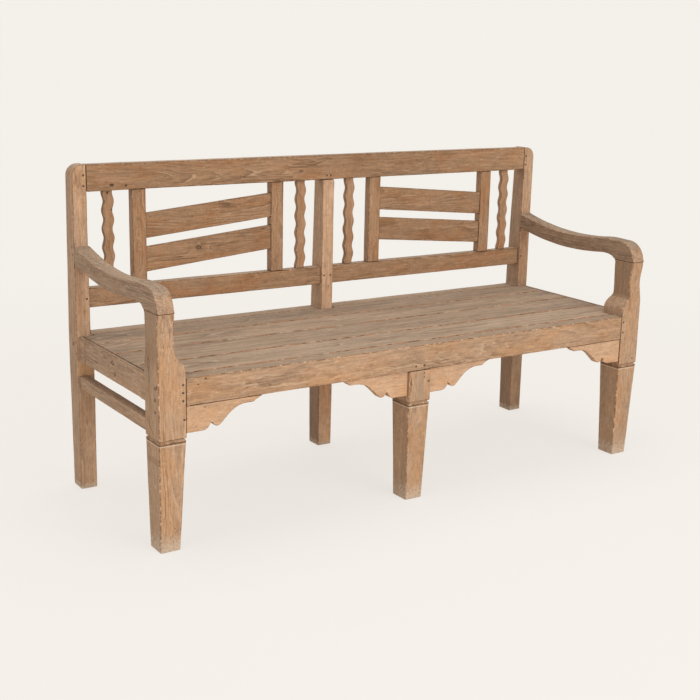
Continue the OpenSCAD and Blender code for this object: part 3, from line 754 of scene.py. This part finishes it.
@dataclass
class Timber:
    """One piece of wood, shaped from the merged copy of its CAD node.

    Attributes:
        node: Name of the CAD node that it stands for.
        grain: Direction of its grain.
        finish: How its wood has weathered.
        arris: Width of its eased edges in metres.
        waver: How far its faces are worn out of true, in metres.
        step: Distance between the cross cuts that let it waver, in metres.
        knots: Its knots and nails.
        patches: Its patches and stains, some of them painted shade or painted highlights.
        cracks: Its cracks.
        foot: Height up to which its foot is scuffed, in metres.
        flat: Whether its show face looks up.
        tone: Its lightness against that of its finish, which on some timbers is painted light or
            painted shade.
        joint: Width of its eased edges at a joint, in metres.
    """

    node: str
    grain: Grain
    finish: WoodFinish
    arris: float = 0.002
    waver: float = 0.0014
    step: float = 0.035
    knots: tuple[Knot, ...] = ()
    patches: tuple[Patch, ...] = ()
    cracks: tuple[Crack, ...] = ()
    foot: float = 0.0
    flat: bool = False
    tone: float = 1.0
    joint: float = 0.0013

    def build(self, site: "Site", seed: int) -> None:
        """Shapes and dresses the timber.

        Args:
            site: The peg holes and the neighbours.
            seed: Number that sets its figure.
        """
        piece = self.blank()
        self._cross_cut(piece)
        self._ease_edges(piece, site)
        self._wear(piece)
        self.dress(piece, seed)

    def blank(self) -> bpy.types.Object:
        """A merged copy of the CAD node with its flat faces joined."""
        source = bpy.data.objects[self.node]
        piece = bpy.data.objects.new(f"{self.node}_worn", source.data.copy())
        bpy.context.scene.collection.objects.link(piece)
        pick_only(piece)
        bpy.ops.object.mode_set(mode="EDIT")
        bpy.ops.mesh.select_mode(type="EDGE")
        bpy.ops.mesh.select_all(action="SELECT")
        bpy.ops.mesh.remove_doubles(threshold=WELD)
        bpy.ops.mesh.dissolve_limited(angle_limit=FLAT)
        bpy.ops.object.mode_set(mode="OBJECT")
        return piece

    def dress(self, piece: bpy.types.Object, seed: int) -> None:
        """Gives a shaped piece its wood and its place in the part.

        Args:
            piece: The piece.
            seed: Number that sets its figure.
        """
        piece.data.materials.clear()
        piece.data.materials.append(Painter(self.finish, self, random.Random(seed)).paint())
        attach(piece, "root")
        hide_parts(self.node)
        log.info("%s stands for %s", piece.name, self.node)

    def _cross_cut(self, piece: bpy.types.Object) -> None:
        """Cuts the faces across the grain at even steps, so that the piece can waver.

        Args:
            piece: The piece in work.
        """
        low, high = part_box(self.node)
        axis = self.grain.index
        normal = [float(index == axis) for index in range(3)]
        count = max(2, round((high[axis] - low[axis]) / self.step))
        shoulders = self._shoulders(piece.data, axis)
        bpy.ops.object.mode_set(mode="EDIT")
        for cut in range(1, count):
            place = low.copy()
            place[axis] += (high[axis] - low[axis]) * cut / count
            if all(abs(place[axis] - level) >= CLEARANCE * self.arris for level in shoulders):
                bpy.ops.mesh.select_all(action="SELECT")
                bpy.ops.mesh.bisect(plane_co=place, plane_no=normal, threshold=WELD)
        bpy.ops.object.mode_set(mode="OBJECT")

    def _shoulders(self, mesh: bpy.types.Mesh, axis: int) -> set[float]:
        """Places along the grain where a sharp edge runs across it.

        Args:
            mesh: The mesh of the piece in work.
            axis: Index of the grain's axis.

        Returns:
            Their coordinates on that axis.
        """
        shape = bmesh.new()
        shape.from_mesh(mesh)
        levels = {round(edge.verts[0].co[axis], 5) for edge in shape.edges
                  if edge.is_manifold and edge.calc_face_angle(0.0) > KEEP_FLAT
                  and abs(edge.verts[0].co[axis] - edge.verts[1].co[axis]) < LEVEL}
        shape.free()
        return levels

    def _ease_edges(self, piece: bpy.types.Object, site: "Site") -> None:
        """Rounds the outward arrises, and marks the new faces and those at a joint.

        Args:
            piece: The piece in work.
            site: The peg holes, whose rims stay sharp, and the neighbours.
        """
        mesh = piece.data
        mesh.materials.clear()
        for plain in (None, None):
            mesh.materials.append(plain)
        shape = bmesh.new()
        shape.from_mesh(mesh)
        sharp = [edge.is_manifold and edge.is_convex and edge.calc_face_angle(0.0) > KEEP_FLAT
                 and min(face.calc_area() for face in edge.link_faces) > SLIVER
                 for edge in shape.edges]
        shape.free()
        for face in mesh.polygons:
            face.material_index = 0
        widths = mesh.attributes.new("bevel_weight_edge", "FLOAT", "EDGE")
        for edge, keep in zip(mesh.edges, sharp):
            ends = [mesh.vertices[index].co for index in edge.vertices]
            if keep and not all(site.on_rim(end) for end in ends):
                snug = site.touches((ends[0] + ends[1]) / 2, self.node)
                widths.data[edge.index].value = min(1.0, self.joint / self.arris) if snug else 1.0
        shape_by(piece, "BEVEL", limit_method="WEIGHT", width=self.arris, segments=2,
                 use_clamp_overlap=False, material=1)
        for name in ("arris", "seam"):
            mesh.attributes.new(name, "FLOAT", "FACE")
        for face in mesh.polygons:
            worn = face.material_index == 1
            joint = worn and site.touches(face.center, self.node)
            mesh.attributes["arris"].data[face.index].value = float(worn)
            mesh.attributes["seam"].data[face.index].value = float(joint)
            face.material_index = 0

    def _wear(self, piece: bpy.types.Object) -> None:
        """Wears the faces slightly out of true, inside the node's box, and smooths the shading.

        Args:
            piece: The piece in work.
        """
        cloud = bpy.data.textures.new(f"{self.node}_wear", "CLOUDS")
        cloud.noise_scale = HOLLOW
        cloud.noise_depth = 2
        shape_by(piece, "DISPLACE", texture=cloud, texture_coords="LOCAL", mid_level=INWARD,
                 strength=self.waver)
        low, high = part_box(self.node)
        for vertex in piece.data.vertices:
            vertex.co = Vector(min(max(value, least), most)
                               for value, least, most in zip(vertex.co, low, high))
        bpy.ops.object.shade_smooth_by_angle(angle=SMOOTH)
        shape_by(piece, "WEIGHTED_NORMAL", keep_sharp=True)


@dataclass
class Site:
    """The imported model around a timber: peg holes and neighbours.

    Attributes:
        pegs: Names of the CAD nodes that hold the pegs.
        slack: How far from a peg's surface its hole may lie, in metres.
        reach: How near a neighbour has to be to make a joint line, in metres.
        axes: Middle, direction and radius of each peg.
        trees: Faces of each timber, for the search.
    """

    pegs: tuple[str, ...]
    slack: float = 0.0004
    reach: float = 0.003
    axes: list[tuple[Vector, int, float]] = field(default_factory=list)
    trees: dict[str, BVHTree] = field(default_factory=dict)

    def read(self, nodes: dict[str, bpy.types.Object]) -> None:
        """Finds each peg, and prepares the search for neighbours.

        Args:
            nodes: The CAD nodes by name.
        """
        for name, node in nodes.items():
            if name in self.pegs:
                for low, high in islands(node.data):
                    size = high - low
                    axis = max(range(3), key=lambda index: size[index])
                    self.axes.append(((low + high) / 2, axis, min(size) / 2))
            else:
                points = [vertex.co for vertex in node.data.vertices]
                faces = [tuple(face.vertices) for face in node.data.polygons]
                self.trees[name] = BVHTree.FromPolygons(points, faces)

    def on_rim(self, point: Vector) -> bool:
        """Whether a point lies on the wall of a peg hole.

        Args:
            point: The point in the row frame.
        """
        for centre, axis, radius in self.axes:
            offset = point - centre
            offset[axis] = 0.0
            if abs(offset.length - radius) < self.slack:
                return True
        return False

    def touches(self, point: Vector, own: str) -> bool:
        """Whether another timber comes close to a point.

        Args:
            point: The point in the row frame.
            own: Name of the timber that the point is on.
        """
        return any(tree.find_nearest(point, self.reach)[0] is not None
                   for name, tree in self.trees.items() if name != own)


def islands(mesh: bpy.types.Mesh) -> list[tuple[Vector, Vector]]:
    """Corners of each separate solid in a mesh of loose triangles.

    Args:
        mesh: The mesh.

    Returns:
        The lowest and highest corner of each solid.
    """
    keys = [tuple(round(value, 5) for value in vertex.co) for vertex in mesh.vertices]
    solids: dict[Point, set[Point]] = {}
    for face in mesh.polygons:
        own = {keys[index] for index in face.vertices}
        own = own.union(*(solids[key] for key in own if key in solids))
        solids.update(dict.fromkeys(own, own))
    return [tuple(Vector(pick(values) for values in zip(*solid)) for pick in (min, max))
            for solid in {id(solid): solid for solid in solids.values()}.values()]


@dataclass
class SubAssembly:
    """A group of timbers that are dressed together."""

    site: Site
    first_seed: int

    def timbers(self) -> list[Timber]:
        """The timbers of this group."""
        return []

    def build(self) -> None:
        """Shapes and dresses each timber of this group."""
        for number, timber in enumerate(self.timbers()):
            timber.build(self.site, self.first_seed + SEED_STEP * number)


@dataclass
class BackFrame(SubAssembly):
    """Posts and rails around the back."""

    FRESH = Patch((-0.7945, 0.237, 0.357), (0.0245, 0.02, 0.021), srgb(212, 168, 122), 0.7, 0.2)
    # Painted shade under the seat: over the lower right post, and on the left-facing sides of the
    # centre and right posts.
    UNDER_SEAT_SHADE = Patch((0.796, 0.26, 0.18), (0.06, 0.08, 0.22), srgb(118, 92, 70), 0.35, 0.2)
    SHADED = tuple(Patch((x, 0.26, 0.18), (0.006, 0.08, 0.23), srgb(96, 72, 54), 0.5, 0.1)
                   for x in (-0.0285, 0.7635))
    POST_NAILS = (Knot((-0.820, 0.264, 0.424), 0.0040), Knot((-0.820, 0.252, 0.700), 0.0032))
    RAIL_NAILS = (Knot((-0.705, 0.237, 0.866), 0.0040, stretch=1.8),
                  Knot((-0.663, 0.237, 0.863), 0.0030))

    def timbers(self) -> list[Timber]:
        """Three posts, the top rail and the two lower rails."""
        # The centre post's tone of 1.15 is painted light under the seat; the right post's tone of
        # 0.86 is painted shade.
        posts = [Timber(f"back_post_{side}", Grain.UPRIGHT, FRAME, arris=0.0026, foot=0.03,
                        knots=nails, patches=patches, tone=tone)
                 for side, nails, patches, tone in (
                     ("left", self.POST_NAILS, (self.FRESH,), 1.0),
                     ("centre", (), self.SHADED[:1], 1.15),
                     ("right", (), (self.UNDER_SEAT_SHADE, self.SHADED[1]), 0.86))]
        top = Timber("top_rail", Grain.ALONG, BACK, arris=0.0025, tone=0.95,
                     knots=self.RAIL_NAILS)
        low = [Timber(f"lower_back_rail_{side}", Grain.ALONG, BACK) for side in SIDES]
        return [*posts, top, *low]


@dataclass
class BackFilling(SubAssembly):
    """Stiles, wavy slats and slanted slats of the back."""

    KNOTS = {
        "slanted_slat_left_lower": (Knot((-0.437, 0.247, 0.672), 0.006, rings=True),),
        "wavy_slat_left_outer": (Knot((-0.713, 0.252, 0.8435), 0.0030),
                                 Knot((-0.702, 0.252, 0.797), 0.0020)),
    }

    def timbers(self) -> list[Timber]:
        """Four stiles, four wavy slats and four slanted slats."""
        places = [f"{side}_{part}" for side in SIDES for part in ("outer", "inner")]
        stiles = [Timber(f"stile_{place}", Grain.UPRIGHT, BACK, arris=0.0016)
                  for place in places]
        wavy = [Timber(f"wavy_slat_{place}", Grain.UPRIGHT, BACK, arris=0.0014, waver=0.0008,
                       tone=1.07)
                for place in places]
        slanted = [Timber(f"slanted_slat_{side}_{level}", Grain.ALONG, BACK, arris=0.0016,
                          tone=tone)
                   for side, tone in zip(SIDES, (1.0, 0.94)) for level in ("upper", "lower")]
        return stiles + [replace(timber, knots=self.KNOTS.get(timber.node, ()))
                         for timber in wavy + slanted]


@dataclass
class SeatFrame(SubAssembly):
    """Rails around the seat, the stretchers and the cross rail."""

    NAILS = (Knot((-0.691, -0.300, 0.443), 0.0022), Knot((-0.712, -0.300, 0.430), 0.0018))
    RINGS = {"left": (Knot((-0.812, 0.004, 0.428), 0.0065, rings=True, dark=0.95),
                      Knot((-0.812, -0.010, 0.400), 0.0055, rings=True, dark=0.95)),
             "right": ()}

    def timbers(self) -> list[Timber]:
        """Eight rails."""
        rails = [Timber("front_rail", Grain.ALONG, FRONT, arris=0.0022, knots=self.NAILS,
                        tone=0.88)]
        for side in SIDES:
            rails += [
                Timber(f"rear_rail_{side}", Grain.ALONG, FRAME),
                Timber(f"side_rail_{side}", Grain.ACROSS, FRAME, knots=self.RINGS[side],
                       tone=0.93),
                Timber(f"side_stretcher_{side}", Grain.ACROSS, FRAME, tone=0.93),
            ]
        return [*rails, Timber("cross_rail", Grain.ACROSS, FRAME)]


@dataclass
class Seat(SubAssembly):
    """The planks of the seat."""

    def timbers(self) -> list[Timber]:
        """Four planks from front to back."""
        tones = {"front": 1.0, "mid_front": 0.93, "mid_back": 1.01, "back": 0.95}
        return [Timber(f"seat_plank_{place}", Grain.ALONG, SEAT, arris=0.0022, joint=0.0022,
                       flat=True, tone=tone)
                for place, tone in tones.items()]


@dataclass
class FrontLegs(SubAssembly):
    """The three front legs with their blocks and arm supports."""

    KNOTS = {
        "left": (Knot((-0.820, -0.245, 0.485), 0.008, rings=True, stretch=2.0, dark=0.5),
                 *(Knot((-0.820, y, z), 0.0040) for y, z in
                   ((-0.281, 0.429), (-0.279, 0.399), (-0.279, 0.368), (-0.291, 0.434))),
                 *(Knot((x, -0.300, z), 0.0024) for x, z in ((-0.792, 0.519), (-0.778, 0.522)))),
        "centre": tuple(Knot((x, -0.300, z), 0.002) for x, z in
                        ((-0.028, 0.385), (-0.012, 0.357), (-0.012, 0.369))),
        "right": (Knot((0.801, -0.300, 0.311), 0.0022),),
    }
    PATCHES = {
        "left": (Patch((-0.820, -0.26, 0.239), (0.02, 0.04, 0.009), srgb(140, 108, 80), 0.45, 0.5),
                 # The thin patch on the left-facing face of the arm support is painted shade.
                 Patch((-0.820, -0.262, 0.61), (0.006, 0.06, 0.13), srgb(120, 92, 68), 0.35, 0.2)),
        "centre": (Patch((-0.022, -0.300, 0.330), (0.011, 0.03, 0.045), srgb(156, 132, 108), 0.6,
                         0.12),),
        # The thin patch on the left-facing face of the arm support is painted shade.
        "right": (Patch((0.773, -0.262, 0.61), (0.006, 0.06, 0.15), srgb(112, 84, 62), 0.4, 0.2),),
    }
    GROOVES = {"left": (-0.782, 0.285), "centre": (-0.036, 0.277), "right": (0.782, 0.285)}
    CRACKS = {
        "left": (Crack((-0.820, -0.241, 0.345), (-0.820, -0.243, 0.330), "x", 0.0012),
                 Crack((-0.820, -0.243, 0.330), (-0.820, -0.266, 0.308), "x", 0.0012)),
        "centre": (Crack((-0.057, -0.300, 0.320), (-0.056, -0.300, 0.358), "y", 0.0014),),
        "right": (),
    }

    def _groove_shade_and_highlight(self, side: str) -> tuple[Patch, ...]:
        """Painted shade in one leg's groove and a painted highlight on the rim below it."""
        x, z = self.GROOVES[side]
        return (Patch((x, -0.26, z + 0.001), (0.06, 0.06, 0.0024), srgb(92, 66, 46), 0.7, 0.3),
                Patch((x, -0.26, z - 0.0031), (0.06, 0.06, 0.0015), srgb(220, 198, 174), 0.55, 0.8))

    def timbers(self) -> list[Timber]:
        """Left, middle and right leg."""
        return [Timber(f"front_leg_{side}", Grain.UPRIGHT, FRONT, arris=0.0028, foot=0.07,
                       knots=self.KNOTS[side], cracks=self.CRACKS[side],
                       patches=self.PATCHES[side] + self._groove_shade_and_highlight(side), tone=tone)
                for side, tone in (("left", 1.0), ("centre", 1.0), ("right", 0.93))]


@dataclass
class Arms(SubAssembly):
    """The two swept arms."""

    def timbers(self) -> list[Timber]:
        """Left and right arm."""
        return [Timber(f"arm_{side}", Grain.ACROSS, ARM, arris=0.0040, joint=0.0007, flat=True,
                       tone=tone)
                # The right arm's lower tone is painted shade.
                for side, tone in zip(SIDES, (0.85, 0.76))]


@dataclass
class Brackets(SubAssembly):
    """The four carved brackets under the front rail."""

    def timbers(self) -> list[Timber]:
        """Brackets from left to right."""
        return [Timber(f"bracket_{place}", Grain.ALONG, FRONT, arris=0.0018, waver=0.0008,
                       step=0.05, tone=1.2)
                for place in ("left_outer", "left_inner", "right_inner", "right_outer")]


@dataclass
class Pegs:
    """The wooden pegs that lock the joints.

    Attributes:
        nodes: The CAD nodes that hold them.
        dome: Rounding of a peg's head, in metres.
        first_seed: Seed of the first node's wood.
    """

    nodes: tuple[str, ...] = ("back_pegs", "seat_pegs")
    dome: float = 0.0009
    first_seed: int = 400

    def build(self) -> None:
        """Rounds the pegs' heads and dresses them."""
        for seed, node in enumerate(self.nodes, self.first_seed):
            timber = Timber(node, Grain.ACROSS, PEG)
            piece = timber.blank()
            shape_by(piece, "BEVEL", width=self.dome, segments=2, limit_method="ANGLE",
                     angle_limit=DOMED)
            bpy.ops.object.shade_smooth_by_angle(angle=DOMED)
            timber.dress(piece, seed)


@dataclass(frozen=True)
class Lamp:
    """A soft lamp.

    Attributes:
        name: Its name.
        place: Where it hangs, in metres.
        target: Where it points, in metres.
        size: Its width in metres.
        power: Its power in watts.
    """

    name: str
    place: Point
    target: Point
    size: float
    power: float

    def hang(self) -> None:
        """Adds the lamp to the scene."""
        data = bpy.data.lights.new(self.name, "AREA")
        data.size = self.size
        data.energy = self.power
        lamp = bpy.data.objects.new(self.name, data)
        lamp.location = self.place
        lamp.rotation_mode = "QUATERNION"
        lamp.rotation_quaternion = (Vector(self.target) - lamp.location).to_track_quat("-Z", "Y")
        bpy.context.scene.collection.objects.link(lamp)


@dataclass
class Studio:
    """Floor, light and camera.

    Attributes:
        lens: Focal length for a 36 mm sensor, in millimetres.
        eye: Place of the camera, in metres.
        yaw: Turn of the camera about +Z, in degrees.
        pitch: How far it looks down, in degrees.
        roll: Its tilt, in degrees.
        paper: Colour of the floor and the backdrop.
        daylight: Colour of the even light.
        sky: Strength of the even light.
        floor_size: Width of the floor in metres.
        floor_drop: How far the floor lies under the feet, in metres.
        glow: Share of the floor's colour that the light doesn't change, near the bench.
        horizon: Distances between which that share rises to all, in metres.
        lamps: The lamps.
    """

    lens: float = 64.332
    eye: Point = (-2.0424, -3.0039, 1.2784)
    yaw: float = -33.3505
    pitch: float = 14.1069
    roll: float = 1.2314
    paper: Color = srgb(244, 240, 234)
    daylight: Color = (1.0, 0.985, 0.96)
    sky: float = 0.6
    floor_size: float = 40.0
    floor_drop: float = 0.0005
    glow: float = 0.8
    horizon: tuple[float, float] = (1.2, 3.6)
    lamps: tuple[Lamp, ...] = (
        Lamp("key", (1.2, -4.6, 2.6), (0.1, 0.0, 0.4), 3.0, 90.0),
        Lamp("low", (-0.4, -4.0, 0.7), (0.0, 0.3, 0.2), 1.6, 18.0),
        Lamp("fill", (-4.4, -1.6, 1.8), (0.0, 0.0, 0.4), 3.0, 27.0),
        Lamp("top", (0.0, 0.6, 4.2), (0.0, 0.0, 0.4), 3.0, 54.0),
    )

    def build(self) -> None:
        """Sets up the whole studio."""
        self._camera()
        self._world()
        self._floor()
        for lamp in self.lamps:
            lamp.hang()

    def _camera(self) -> None:
        """Places the camera at the photograph's angle."""
        yaw, pitch, roll = (math.radians(angle) for angle in (self.yaw, self.pitch, self.roll))
        turn = (Matrix.Rotation(yaw, 4, "Z") @ Matrix.Rotation(math.pi / 2 - pitch, 4, "X")
                @ Matrix.Rotation(roll, 4, "Z"))
        data = bpy.data.cameras.new("camera")
        data.lens = self.lens
        camera = bpy.data.objects.new("camera", data)
        camera.matrix_world = Matrix.Translation(self.eye) @ turn
        bpy.context.scene.collection.objects.link(camera)
        bpy.context.scene.camera = camera

    def _world(self) -> None:
        """Soft even light, and the paper colour for the camera and for reflections."""
        world = bpy.data.worlds.new("studio")
        bench = NodeBench(world)
        path = bench.add("LightPath").outputs
        light = bench.add("Background")
        shown = bench.add("Background")
        bench.put(light, Color=self.daylight, Strength=self.sky)
        bench.put(shown, Color=self.paper)
        seen = bench.chain("MAXIMUM", path["Is Camera Ray"], path["Is Glossy Ray"],
                           path["Is Transmission Ray"])
        bench.blend(seen, light, shown, "OutputWorld")
        bpy.context.scene.world = world

    def _floor(self) -> None:
        """A plain pale floor that keeps a soft shadow."""
        bpy.ops.mesh.primitive_plane_add(size=self.floor_size,
                                         location=(0.0, 0.0, -self.floor_drop))
        floor = bpy.context.active_object
        floor.name = "floor"
        bench = NodeBench(bpy.data.materials.new("paper"))
        matt = bench.add("BsdfDiffuse")
        glow = bench.add("Emission")
        for shader in (matt, glow):
            bench.put(shader, Color=self.paper)
        away = bench.vector("LENGTH", bench.add("TexCoord").outputs["Object"])
        share = bench.fade(away, *self.horizon, self.glow, 1.0)
        seen = bench.add("LightPath").outputs["Is Camera Ray"]
        bench.blend(bench.math("MULTIPLY", seen, share), matt, glow, "OutputMaterial")
        floor.data.materials.append(bench.owner)


def main() -> None:
    """Builds the bench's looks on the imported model."""
    logging.basicConfig(level=logging.INFO, format="%(name)s: %(message)s")
    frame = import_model()
    bpy.context.scene.view_settings.view_transform = "Standard"
    Studio().build()
    site = Site(Pegs().nodes)
    site.read(frame["nodes"])
    for group in (BackFrame(site, 11), BackFilling(site, 101), SeatFrame(site, 211),
                  Seat(site, 307), FrontLegs(site, 401), Arms(site, 503), Brackets(site, 601),
                  Pegs()):
        group.build()
    bpy.context.view_layer.update()


if __name__ == "__main__":
    main()
